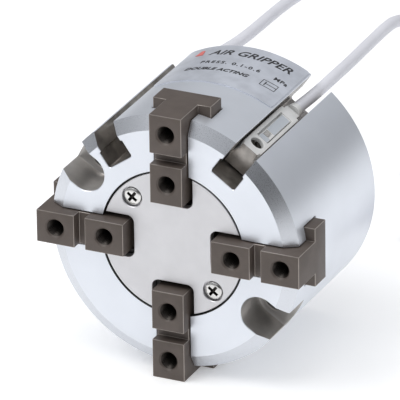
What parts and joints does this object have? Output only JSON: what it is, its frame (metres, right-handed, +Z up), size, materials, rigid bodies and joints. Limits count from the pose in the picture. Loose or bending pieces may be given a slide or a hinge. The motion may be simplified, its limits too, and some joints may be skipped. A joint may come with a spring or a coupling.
{
  "type": "pneumatic gripper",
  "caption": "Round pneumatic gripper lying on its side: parallel fingers slide radially in T slots, with magnetic auto switches and leads.",
  "frame": {"origin": "centre of the footprint under the lowest finger, gripper lying on its side, leads not counted", "axes": "-Y is the way the fingers face (gripper axis), +Y points out of the rear mounting face, +Z up, +X to the right seen from the front"},
  "size_m": [0.0778, 0.1393, 0.0592],
  "materials": {
    "anodised_body": "clear anodised, fine turned satin",
    "stainless_plate": "fine brushed stainless",
    "finger_steel": "dark hardened and blackened, satin, worn bright on edges",
    "bright_steel": "plated bright",
    "spring_steel": "oiled phosphate",
    "rubber": "matt",
    "magnet": "matt",
    "label_foil": "thin silver printed film",
    "switch_resin": "satin moulded resin",
    "lamp_red": "clear red lens",
    "lead_sheath": "satin vinyl sheath",
    "core_brown": "satin vinyl",
    "core_black": "satin vinyl",
    "core_blue": "satin vinyl"
  },
  "bodies": {
    "root": {"body": "anodised_body", "rear_cap": "anodised_body", "rear_cap_seal": "rubber", "rear_retaining_ring": "spring_steel", "rod_seal": "rubber", "end_plate": "stainless_plate", "end_plate_screw_1": "bright_steel", "end_plate_screw_2": "bright_steel", "label": "label_foil", "auto_switch_right": "switch_resin", "switch_screw_right": "bright_steel", "switch_lamp_right": "lamp_red", "cable_grommet_right": "switch_resin", "lead_right": "lead_sheath", "lead_coil_right": "lead_sheath", "lead_tail_right": "lead_sheath", "core_brown_right": "core_brown", "core_black_right": "core_black", "core_blue_right": "core_blue", "auto_switch_left": "switch_resin", "switch_screw_left": "bright_steel", "switch_lamp_left": "lamp_red", "cable_grommet_left": "switch_resin", "lead_left": "lead_sheath", "lead_coil_left": "lead_sheath", "lead_tail_left": "lead_sheath", "core_brown_left": "core_brown", "core_black_left": "core_black", "core_blue_left": "core_blue"},
    "piston_body": {"piston": "anodised_body", "piston_magnet": "magnet", "piston_seal": "rubber", "piston_bolt": "bright_steel", "wedge_cam": "finger_steel"},
    "finger_right_body": {"finger_right": "finger_steel"},
    "finger_top_body": {"finger_top": "finger_steel"},
    "finger_left_body": {"finger_left": "finger_steel"},
    "finger_bottom_body": {"finger_bottom": "finger_steel"}
  },
  "joints": [
    {"name": "piston_slide", "type": "slide", "parent": "root", "child": "piston_body", "axis": [0, -1, 0], "range_m": [0, 0.005]},
    {"name": "finger_right_slide", "type": "slide", "parent": "root", "child": "finger_right_body", "axis": [1, 0, 0], "range_m": [0, 0.004]},
    {"name": "finger_top_slide", "type": "slide", "parent": "root", "child": "finger_top_body", "axis": [0, 0, 1], "range_m": [0, 0.004]},
    {"name": "finger_left_slide", "type": "slide", "parent": "root", "child": "finger_left_body", "axis": [-1, 0, 0], "range_m": [0, 0.004]},
    {"name": "finger_bottom_slide", "type": "slide", "parent": "root", "child": "finger_bottom_body", "axis": [0, 0, -1], "range_m": [0, 0.004]}
  ],
  "couplings": [
    {"joint": "finger_right_slide", "follows": "piston_slide", "ratio": 0.8},
    {"joint": "finger_top_slide", "follows": "piston_slide", "ratio": 0.8},
    {"joint": "finger_left_slide", "follows": "piston_slide", "ratio": 0.8},
    {"joint": "finger_bottom_slide", "follows": "piston_slide", "ratio": 0.8}
  ]
}
